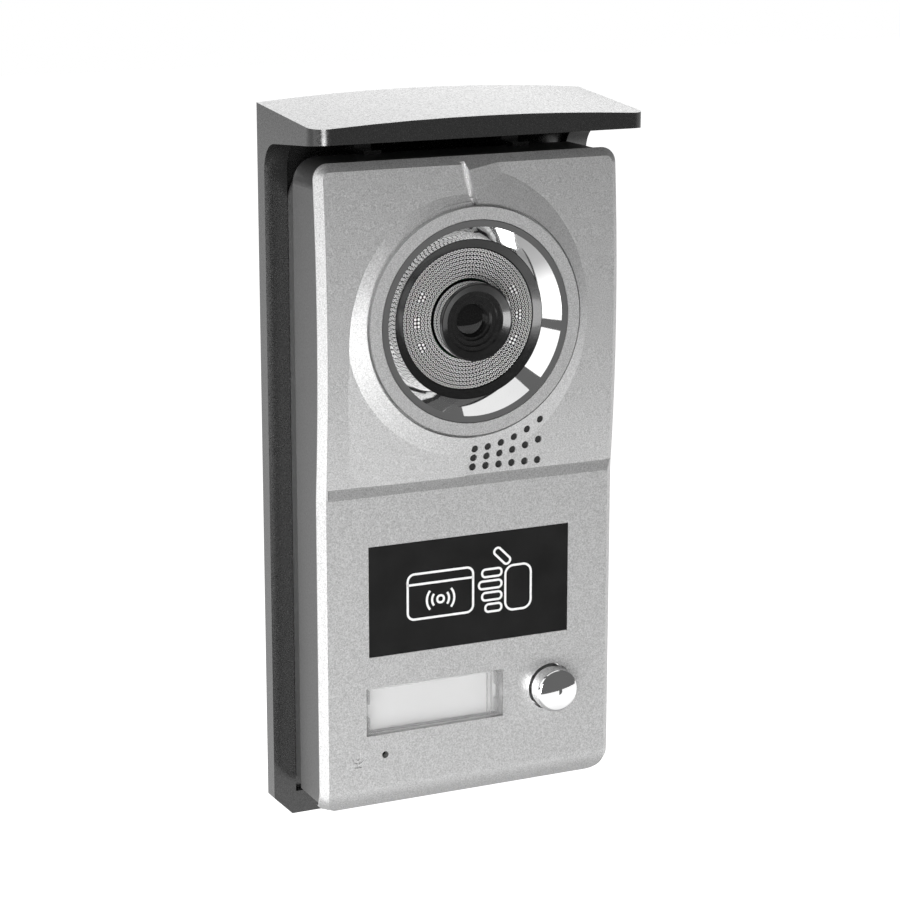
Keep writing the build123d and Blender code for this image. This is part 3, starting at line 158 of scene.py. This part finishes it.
def chrome(name, roughness=0.04):
    """Mirror plating with faint smears."""
    material, shader = new_material(name)
    smears = noise(material, 60.0, 3.0)
    wire(material, ramp(material, smears, ((0.3, 0.82), (0.7, 0.90))), shader.inputs["Base Color"])
    shader.inputs["Metallic"].default_value = 1.0
    shader.inputs["Roughness"].default_value = roughness
    return material


def clear(name, colour, alpha, roughness):
    """Clear plastic or glass as a thin see-through coat of its own colour."""
    material = plain(name, colour, roughness, speckle=0.05, grain=400.0)
    set_inputs(material, {"Alpha": alpha})
    return material


COVER_PAINT = metallic_paint("cover_paint", 0.38, 0.74, 0.40, 0.60, 3000.0, 0.35)
HOOD_PAINT = metallic_paint("hood_paint", 0.075, 0.11, 0.24, 0.85, 3400.0, 0.02)
CASE_PLASTIC = metallic_paint("case_plastic", 0.085, 0.13, 0.36, 0.55, 3800.0, 0.15)
CHROME = chrome("chrome")
BLACK = plain("black_plastic", 0.010, 0.22, speckle=0.3, coat=0.3)
LABEL = plain("label", 0.009, 0.6, speckle=0.3, grain=120.0)
PRINT = plain("label_print", 0.85, 0.5, speckle=0.05)
CRYSTAL = plain("crystal", 0.92, 0.25, speckle=0.05)
DISC = plain("disc", 0.003, 0.6, speckle=0.3)
set_inputs(LABEL, {"Specular IOR Level": 0.15})
set_inputs(DISC, {"Specular IOR Level": 0.1})
RUBBER = plain("rubber", 0.02, 0.8, speckle=0.3, bump_strength=0.3)
BOARD = plain("board", (0.02, 0.10, 0.04), 0.45, speckle=0.2)
COMPONENT = plain("component", 0.03, 0.5, speckle=0.3)
TERMINAL = plain("terminal", (0.03, 0.22, 0.08), 0.5, speckle=0.1)
STEEL = plain("steel", 0.55, 0.3, metallic=1.0, speckle=0.1)
DARK_STEEL = plain("dark_steel", 0.015, 0.45, metallic=1.0, speckle=0.2)
CAPACITOR = plain("capacitor", 0.6, 0.35, metallic=1.0, speckle=0.05)
COPPER = plain("copper", (0.72, 0.36, 0.2), 0.35, metallic=1.0, speckle=0.1)
PAPER = plain("paper", 0.02, 0.9, speckle=0.3, bump_strength=0.4)
LENS_GLASS = clear("lens_glass", 0.006, 0.85, 0.02)
REAR_GLASS = plain("rear_glass", 0.006, 0.05, speckle=0.2, grain=40.0)
WINDOW = clear("window", 0.85, 0.13, 0.10)
WINDOW_EDGE = clear("window_edge", 0.35, 0.45, 0.10)
LED = clear("led", 0.85, 0.5, 0.1)
CARD_WITH_PAINTED_GLOW = plain("card", 0.66, 0.6, speckle=0.03, grain=60.0)
# The card glows faintly: a painted glow of the backlight behind it.
set_inputs(CARD_WITH_PAINTED_GLOW, {"Emission Color": (1, 1, 1, 1), "Emission Strength": 0.03})
DIFFUSER = plain("diffuser", 0.85, 0.7, speckle=0.03)

FINISHES = {
    "rain_hood": HOOD_PAINT,
    "rear_case": CASE_PLASTIC,
    "case_frame": CASE_PLASTIC,
    "front_cover": COVER_PAINT,
    "chrome_reflector": CHROME,
    "lens_sleeve": CHROME,
    "call_button": CHROME,
    "reader_label": LABEL,
    "crystal_disc": DISC,
    "case_seal": RUBBER,
    "cable_grommet": RUBBER,
    "speaker_gasket": BLACK,
    "microphone_boot": RUBBER,
    "main_board": BOARD,
    "camera_board": BOARD,
    "led_board": BOARD,
    "reader_board": BOARD,
    "backlight_board": BOARD,
    "lock_relay": COMPONENT,
    "processor": COMPONENT,
    "push_switch": COMPONENT,
    "camera_connector": COMPONENT,
    "image_sensor": COMPONENT,
    "light_sensor": COMPONENT,
    "terminal_block": TERMINAL,
    "case_screws": STEEL,
    "fixing_screw": STEEL,
    "board_screws": STEEL,
    "housing_screws": STEEL,
    "terminal_screws": STEEL,
    "speaker_frame": DARK_STEEL,
    "speaker_magnet": STEEL,
    "button_spring": STEEL,
    "capacitors": CAPACITOR,
    "microphone": CAPACITOR,
    "reader_coil": COPPER,
    "speaker_cone": PAPER,
    "front_lens": LENS_GLASS,
    "rear_lens": REAR_GLASS,
    "nameplate_window": WINDOW,
    "name_card": CARD_WITH_PAINTED_GLOW,
    "backlight_diffuser": DIFFUSER,
    "infrared_leds": LED,
    "backlight_leds": LED,
}
for name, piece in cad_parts.items():
    piece.data.materials.clear()
    piece.data.materials.append(FINISHES.get(name, BLACK))


# ---------------------------------------------------------------- new pieces
def finish_piece(name, builder, material, body="unit"):
    """Turns a bmesh into an object of the scene that rides on a body."""
    mesh = bpy.data.meshes.new(name)
    bmesh.ops.recalc_face_normals(builder, faces=builder.faces)
    builder.to_mesh(mesh)
    builder.free()
    mesh.materials.append(material)
    made = bpy.data.objects.new(name, mesh)
    bpy.context.scene.collection.objects.link(made)
    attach(made, body)
    return made


def block(builder, low, high):
    """Adds a box between two corners."""
    low, high = Vector(low), Vector(high)
    scale = Matrix.Diagonal((*(high - low), 1))
    made = bmesh.ops.create_cube(builder, size=1.0)["verts"]
    bmesh.ops.transform(builder, matrix=Matrix.Translation((low + high) / 2) @ scale, verts=made)
    return made


def stroke(builder, points, width, front, thickness, closed=False):
    """A raised line of even width along (x, z) points, its face looking at -Y."""
    count = len(points)
    rows = []
    for index, (x, z) in enumerate(points):
        before = points[index - 1] if index or closed else points[index]
        after = points[(index + 1) % count] if index + 1 < count or closed else points[index]
        along = Vector((after[0] - before[0], after[1] - before[1])).normalized()
        side = Vector((-along[1], along[0])) * width / 2
        corners = []
        for sign, depth in ((1, front), (-1, front), (-1, front + thickness), (1, front + thickness)):
            corners.append(builder.verts.new((x + sign * side[0], depth, z + sign * side[1])))
        rows.append(corners)
    for index in range(count if closed else count - 1):
        here, there = rows[index], rows[(index + 1) % count]
        for edge in range(4):
            next_edge = (edge + 1) % 4
            builder.faces.new((here[edge], there[edge], there[next_edge], here[next_edge]))
    if not closed:
        builder.faces.new(rows[0])
        builder.faces.new(rows[-1])


def arc(centre, radius, start, end, steps=8):
    """Points on an arc, in degrees counter-clockwise from +X."""
    points = []
    for step in range(steps + 1):
        angle = math.radians(start + (end - start) * step / steps)
        points.append((centre[0] + radius * math.cos(angle), centre[1] + radius * math.sin(angle)))
    return points


def rounded_box(centre, width, height, corner, turn=0):
    """Closed outline of a box with round corners, turned in degrees counter-clockwise."""
    turned = Matrix.Rotation(math.radians(turn), 2)
    reach_x = width / 2 - corner
    reach_z = height / 2 - corner
    outline = []
    for quarter, (side_x, side_z) in enumerate(((1, 1), (-1, 1), (-1, -1), (1, -1))):
        start = 90 * quarter
        for point in arc((side_x * reach_x, side_z * reach_z), corner, start, start + 90):
            outline.append(tuple(Vector(centre) + turned @ Vector(point)))
    return outline


# The label's white sign, of plain shapes: a card with a sender on it, and an open hand beside it.
# Its sizes are in mm and its places are measured from the middle of the label.
LINE_WIDTH = 0.65
LINE_HEIGHT = 0.05
LINE_THICKNESS = 0.08
CARD_CENTRE = (-9, 0)
CARD_WIDTH = 20
CARD_HEIGHT = 13
CARD_CORNER = 2
STRIPE_Z = 3.5
SENDER_CENTRE = (-9, -1.5)
SENDER_SIZE = 2
SENDER_CORNER = 0.9
WAVE_RADII = (2.6, 4.2)
WAVE_HALF_ANGLE = 40
PALM_CENTRE = (15, -1)
PALM_WIDTH = 8
PALM_HEIGHT = 13
PALM_CORNER = 2.5
FINGER_LENGTHS = (5, 6, 7, 6)
FINGER_WIDTH = 2.2
FINGER_CORNER = 1
FINGER_PITCH = 3.4
FINGER_ROOT_X = 9.8
THUMB_CENTRE = (10, 8.6)
THUMB_LENGTH = 6
THUMB_TURN = -45

card_left = CARD_CENTRE[0] - CARD_WIDTH / 2
closed_lines = [
    rounded_box(CARD_CENTRE, CARD_WIDTH, CARD_HEIGHT, CARD_CORNER),
    rounded_box(SENDER_CENTRE, SENDER_SIZE, SENDER_SIZE, SENDER_CORNER),
    rounded_box(PALM_CENTRE, PALM_WIDTH, PALM_HEIGHT, PALM_CORNER),
    rounded_box(THUMB_CENTRE, THUMB_LENGTH, FINGER_WIDTH, FINGER_CORNER, THUMB_TURN),
]
for number, length in enumerate(FINGER_LENGTHS):
    finger_z = PALM_CENTRE[1] + (number - 1.5) * FINGER_PITCH
    finger_centre = (FINGER_ROOT_X - length / 2, finger_z)
    closed_lines.append(rounded_box(finger_centre, length, FINGER_WIDTH, FINGER_CORNER))
open_lines = [[(card_left, STRIPE_Z), (card_left + CARD_WIDTH, STRIPE_Z)]]
for radius in WAVE_RADII:
    for middle in (0, 180):
        open_lines.append(
            arc(SENDER_CENTRE, radius, middle - WAVE_HALF_ANGLE, middle + WAVE_HALF_ANGLE)
        )

label_middle = (LABEL_LOW + LABEL_HIGH) / 2
drawing = bmesh.new()
for lines, closed in ((closed_lines, True), (open_lines, False)):
    for line in lines:
        stroke(
            drawing,
            [(label_middle[0] + x * MM, label_middle[2] + z * MM) for x, z in line],
            LINE_WIDTH * MM,
            LABEL_LOW[1] - LINE_HEIGHT * MM,
            LINE_THICKNESS * MM,
            closed,
        )
finish_piece("label_drawing", drawing, PRINT)

# The crystal disc: rows of small clear rings, and a white dome in front of each infrared lamp, a
# painted glint of the lamp.
RING_ROWS = 8
FIRST_RING_ROW = 11.65 * MM
RING_ROW_STEP = 1.05 * MM
RING_PITCH = 1.04 * MM
RING_RADIUS = 0.355 * MM
RING_WIRE = 0.095 * MM
RING_SIDES = 8
WIRE_SIDES = 4
LAMP_GLARE = 1.3 * MM
GLINT_DOME_RADIUS = 0.42 * MM
GLINT_DOME_FLATTENING = Matrix.Diagonal((1, 0.5, 1, 1))


def add_glint_dome(builder, centre):
    """A white bead that stands for a painted glint, flattened from front to back."""
    made = bmesh.ops.create_uvsphere(builder, u_segments=8, v_segments=5, radius=GLINT_DOME_RADIUS)["verts"]
    bmesh.ops.transform(builder, matrix=Matrix.Translation(centre) @ GLINT_DOME_FLATTENING, verts=made)


def join_sections(builder, sections, closed):
    """Faces between neighbouring loops of the same number of corners."""
    following_sections = sections[1:] + sections[:1] if closed else sections[1:]
    for here, there in zip(sections, following_sections):
        for corner in range(len(here)):
            following = (corner + 1) % len(here)
            builder.faces.new((here[corner], there[corner], there[following], here[following]))


def add_ring(builder, centre):
    """A small ring of round wire that lies on the disc."""
    sections = []
    for side in range(RING_SIDES):
        turn = 2 * math.pi * side / RING_SIDES
        out = Vector((math.cos(turn), 0, math.sin(turn)))
        section = []
        for corner in range(WIRE_SIDES):
            angle = 2 * math.pi * corner / WIRE_SIDES
            reach = out * (RING_RADIUS + RING_WIRE * math.cos(angle))
            rise = Vector((0, -RING_WIRE * math.sin(angle), 0))
            section.append(builder.verts.new(centre + reach + rise))
        sections.append(section)
    join_sections(builder, sections, closed=True)


def on_circle(radius, angle):
    return Vector((radius * math.cos(angle), radius * math.sin(angle)))


rings = bmesh.new()
glint_domes = bmesh.new()
lamps = [on_circle(LAMP_CIRCLE_RADIUS, math.radians(angle)) for angle in LAMP_ANGLES]
for row in range(RING_ROWS):
    row_radius = FIRST_RING_ROW + row * RING_ROW_STEP
    count = round(2 * math.pi * row_radius / RING_PITCH)
    for number in range(count):
        flat = on_circle(row_radius, 2 * math.pi * (number + 0.5 * (row % 2)) / count)
        centre = CAMERA_CENTRE + Vector((flat[0], DISC_FRONT_Y, flat[1]))
        if min((flat - lamp).length for lamp in lamps) < LAMP_GLARE:
            add_glint_dome(glint_domes, centre)
        else:
            add_ring(rings, centre)
for name, builder in (("crystal_rings", rings), ("crystal_painted_glints", glint_domes)):
    piece = finish_piece(name, builder, CRYSTAL)
    for polygon in piece.data.polygons:
        polygon.use_smooth = True

# The name plate's window: a clear cap with side walls and clips, open toward the card.
CAP_WALL = 0.7 * MM
CAP_FRONT = 0.8 * MM
CAP_ROUNDING = 0.3 * MM
CLIP_WIDTH = 0.7 * MM
CLIP_LENGTH = 3.8 * MM
CLIP_FROM_CORNER = 1.0 * MM
CLIP_CLEARANCE = 0.4 * MM
RIB_PLACES = (4.4 * MM, 3.2 * MM)
RIB_WIDTH = 0.25 * MM
RIB_DEPTH = 0.5 * MM
low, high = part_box("nameplate_window")
back = low[1] + CAP_FRONT
inner_low = (low[0] + CAP_WALL, back, low[2] + CAP_WALL)
inner_high = (high[0] - CAP_WALL, high[1], high[2] - CAP_WALL)

cap = bmesh.new()
block(cap, low, (high[0], back, high[2]))
front_edges = [e for e in cap.edges if all(v.co[1] < low[1] + 1e-6 for v in e.verts)]
bmesh.ops.bevel(cap, geom=front_edges, offset=CAP_ROUNDING, segments=3, profile=0.5, affect="EDGES")
cap_piece = finish_piece("nameplate_window_cap", cap, WINDOW)
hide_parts("nameplate_window")

walls = bmesh.new()
block(walls, (low[0], back, low[2]), (inner_low[0], high[1], high[2]))
block(walls, (inner_high[0], back, low[2]), high)
block(walls, (inner_low[0], back, low[2]), (inner_high[0], high[1], inner_low[2]))
block(walls, (inner_low[0], back, inner_high[2]), (inner_high[0], high[1], high[2]))
finish_piece("nameplate_window_walls", walls, WINDOW)

clips = bmesh.new()
for side_x, inward in ((inner_low[0], 1), (inner_high[0], -1)):
    for end_z, upward in ((low[2] + CLIP_FROM_CORNER, 1), (high[2] - CLIP_FROM_CORNER, -1)):
        xs = sorted((side_x, side_x + inward * CLIP_WIDTH))
        zs = sorted((end_z, end_z + upward * CLIP_LENGTH))
        block(clips, (xs[0], back, zs[0]), (xs[1], high[1] - CLIP_CLEARANCE, zs[1]))
for from_end in RIB_PLACES:
    rib_x = high[0] - from_end
    block(clips, (rib_x, back, inner_low[2]), (rib_x + RIB_WIDTH, back + RIB_DEPTH, inner_high[2]))
finish_piece("nameplate_window_clips", clips, WINDOW_EDGE)

# Painted shade in the speaker holes: a black disc a little below the surface in each of the 18 holes,
# dark where the holes are in shade.
HOLE_PITCH = 4.0 * MM
HOLE_COLUMNS = 6
FIRST_HOLE_X = 0.5 * MM
BOTTOM_HOLE_Z = 1.8 * MM
HOLE_ARC_RADIUS = 35.8 * MM
HOLE_SURROUND = 1.3 * MM
SHADE_DISC_RADIUS = 1.03 * MM
SHADE_DISC_THICKNESS = 0.2 * MM
SHADE_DISC_SINK = 0.65 * MM
IN_FRONT_Y = -0.1
BACKWARD = Vector((0, 1, 0))
cover_mesh = bmesh.new()
cover_mesh.from_mesh(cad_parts["front_cover"].data)
cover_tree = BVHTree.FromBMesh(cover_mesh)
cover_mesh.free()


def surface_around(x, z):
    """The cover's mean front surface beside a hole, as a Y value."""
    total = 0.0
    for side_x, side_z in ((1, 0), (-1, 0), (0, 1), (0, -1)):
        start = Vector((x + side_x * HOLE_SURROUND, IN_FRONT_Y, z + side_z * HOLE_SURROUND))
        total += cover_tree.ray_cast(start, BACKWARD)[0][1]
    return total / 4


hole_shade_discs = bmesh.new()
facing_front = Matrix.Rotation(math.pi / 2, 4, "X")
for column in range(HOLE_COLUMNS):
    hole_x = FIRST_HOLE_X + column * HOLE_PITCH
    top_z = CAMERA_CENTRE[2] - math.sqrt(HOLE_ARC_RADIUS**2 - hole_x**2)
    for hole_z in (BOTTOM_HOLE_Z, (BOTTOM_HOLE_Z + top_z) / 2, top_z):
        made = bmesh.ops.create_cone(
            hole_shade_discs,
            cap_ends=True,
            segments=24,
            radius1=SHADE_DISC_RADIUS,
            radius2=SHADE_DISC_RADIUS,
            depth=SHADE_DISC_THICKNESS,
        )["verts"]
        place = Matrix.Translation((hole_x, surface_around(hole_x, hole_z) + SHADE_DISC_SINK, hole_z))
        bmesh.ops.transform(hole_shade_discs, matrix=place @ facing_front, verts=made)
finish_piece("speaker_hole_painted_shade", hole_shade_discs, PAPER)

# The button's spring, which is pressed together as the button goes in.
SPRING_TURNS = 3.5
SPRING_STEPS = 84
SPRING_WIRE = 0.3 * MM
SPRING_WIRE_SIDES = 8
spring_low, spring_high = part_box("button_spring")
spring_middle = (spring_low + spring_high) / 2
spring_radius = (spring_high[0] - spring_low[0]) / 2 - SPRING_WIRE
spring_rise = spring_high[1] - spring_low[1] - 2 * SPRING_WIRE
spring = bmesh.new()
sections = []
for step in range(SPRING_STEPS + 1):
    share = step / SPRING_STEPS
    turn = 2 * math.pi * SPRING_TURNS * share
    out = Vector((math.cos(turn), 0, math.sin(turn)))
    wire_y = spring_high[1] - SPRING_WIRE - share * spring_rise
    centre = Vector((spring_middle[0], wire_y, spring_middle[2]))
    section = []
    for corner in range(SPRING_WIRE_SIDES):
        angle = 2 * math.pi * corner / SPRING_WIRE_SIDES
        reach = out * (spring_radius + SPRING_WIRE * math.cos(angle))
        rise = Vector((0, SPRING_WIRE * math.sin(angle), 0))
        section.append(spring.verts.new(centre + reach + rise))
    sections.append(section)
join_sections(spring, sections, closed=False)
spring.faces.new(sections[0])
spring.faces.new(sections[-1])
spring_piece = finish_piece("button_spring_coil", spring, STEEL)
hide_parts("button_spring")
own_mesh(spring_piece)

# ---------------------------------------------------------------- camera, lights and floor
CAMERA_LENS = 106.36
CAMERA_SENSOR = 36
CAMERA_PLACE = (-0.3069, -0.6727, 0.1793)
CAMERA_DOWNWARD = 13.66
CAMERA_TO_RIGHT = 25.13
FLOOR_HEIGHT = -0.5
FLOOR_SIDE = 5
FLOOR_FRONT = -1.25
FLOOR_BACK = 6
AMBIENT_STRENGTH = 0.14

bpy.context.scene.view_settings.view_transform = "Standard"
camera_data = bpy.data.cameras.new("camera")
camera_data.lens = CAMERA_LENS
camera_data.sensor_width = CAMERA_SENSOR
camera = bpy.data.objects.new("camera", camera_data)
bpy.context.scene.collection.objects.link(camera)
camera.location = CAMERA_PLACE
camera.rotation_euler = (math.radians(90 - CAMERA_DOWNWARD), 0, math.radians(-CAMERA_TO_RIGHT))
bpy.context.scene.camera = camera


def softbox(name, place, target, width, height, power):
    """A rectangular area light that faces a point. Its power is in watts."""
    light = bpy.data.lights.new(name, "AREA")
    light.shape = "RECTANGLE"
    light.size = width
    light.size_y = height
    light.energy = power
    holder = bpy.data.objects.new(name, light)
    bpy.context.scene.collection.objects.link(holder)
    holder.location = place
    direction = Vector(target) - Vector(place)
    holder.rotation_euler = direction.to_track_quat("-Z", "Y").to_euler()


softbox("left_low", (-1.00, -0.42, -0.30), (0, 0, 0), 0.9, 0.46, 1.6)
softbox("left_high", (-0.90, -0.40, 0.46), (0, 0, 0.02), 1.0, 0.80, 2.9)
softbox("top", (0.08, -0.24, 1.14), (0, 0, 0), 1.3, 0.8, 2.6)
softbox("behind", (0.55, 1.10, 0.58), (0, 0, 0.09), 1.4, 0.6, 6.2)
softbox("key_front", (-0.42, -0.86, -0.14), (0, 0, 0), 0.40, 0.40, 5.4)
softbox("key_low", (-0.52, -0.48, -0.40), (0, 0, 0), 0.20, 0.20, 0.8)

# The backdrop is white where the camera sees it, and dim as a light.
world = bpy.data.worlds.new("world")
bpy.context.scene.world = world
world.use_nodes = True
world_nodes = world.node_tree.nodes
world_links = world.node_tree.links
ambient = world_nodes["Background"]
ambient.inputs["Color"].default_value = (1, 1, 1, 1)
ambient.inputs["Strength"].default_value = AMBIENT_STRENGTH
seen = world_nodes.new("ShaderNodeBackground")
seen.inputs["Color"].default_value = (1, 1, 1, 1)
path = world_nodes.new("ShaderNodeLightPath")
choice = world_nodes.new("ShaderNodeMixShader")
world_links.new(path.outputs["Is Camera Ray"], choice.inputs["Fac"])
world_links.new(ambient.outputs["Background"], choice.inputs[1])
world_links.new(seen.outputs["Background"], choice.inputs[2])
world_links.new(choice.outputs["Shader"], world_nodes["World Output"].inputs["Surface"])

floor_corners = [
    (-FLOOR_SIDE, FLOOR_FRONT, FLOOR_HEIGHT),
    (FLOOR_SIDE, FLOOR_FRONT, FLOOR_HEIGHT),
    (FLOOR_SIDE, FLOOR_BACK, FLOOR_HEIGHT),
    (-FLOOR_SIDE, FLOOR_BACK, FLOOR_HEIGHT),
]
floor_mesh = bpy.data.meshes.new("floor")
floor_mesh.from_pydata(floor_corners, [], [(0, 1, 2, 3)])
floor = bpy.data.objects.new("floor", floor_mesh)
bpy.context.scene.collection.objects.link(floor)
floor_material, floor_shader = new_material("floor")
set_inputs(
    floor_material,
    {"Base Color": (0.7, 0.7, 0.7, 1), "Roughness": 0.9, "Emission Color": (1, 1, 1, 1)},
)
# Its glow starts at a distance, so that the floor under the object stays darker: a painted shadow under
# the object.
distance = node(floor_material, "ShaderNodeVectorMath", operation="LENGTH")
wire(floor_material, position(floor_material), distance.inputs[0])
glow_past_painted_shadow = node(floor_material, "ShaderNodeMapRange")
wire(floor_material, distance.outputs["Value"], glow_past_painted_shadow.inputs["Value"])
for socket, value in (("From Min", 0.6), ("From Max", 1.0), ("To Min", 0.0), ("To Max", 1.0)):
    glow_past_painted_shadow.inputs[socket].default_value = value
wire(floor_material, glow_past_painted_shadow.outputs["Result"], floor_shader.inputs["Emission Strength"])
floor_mesh.materials.append(floor_material)
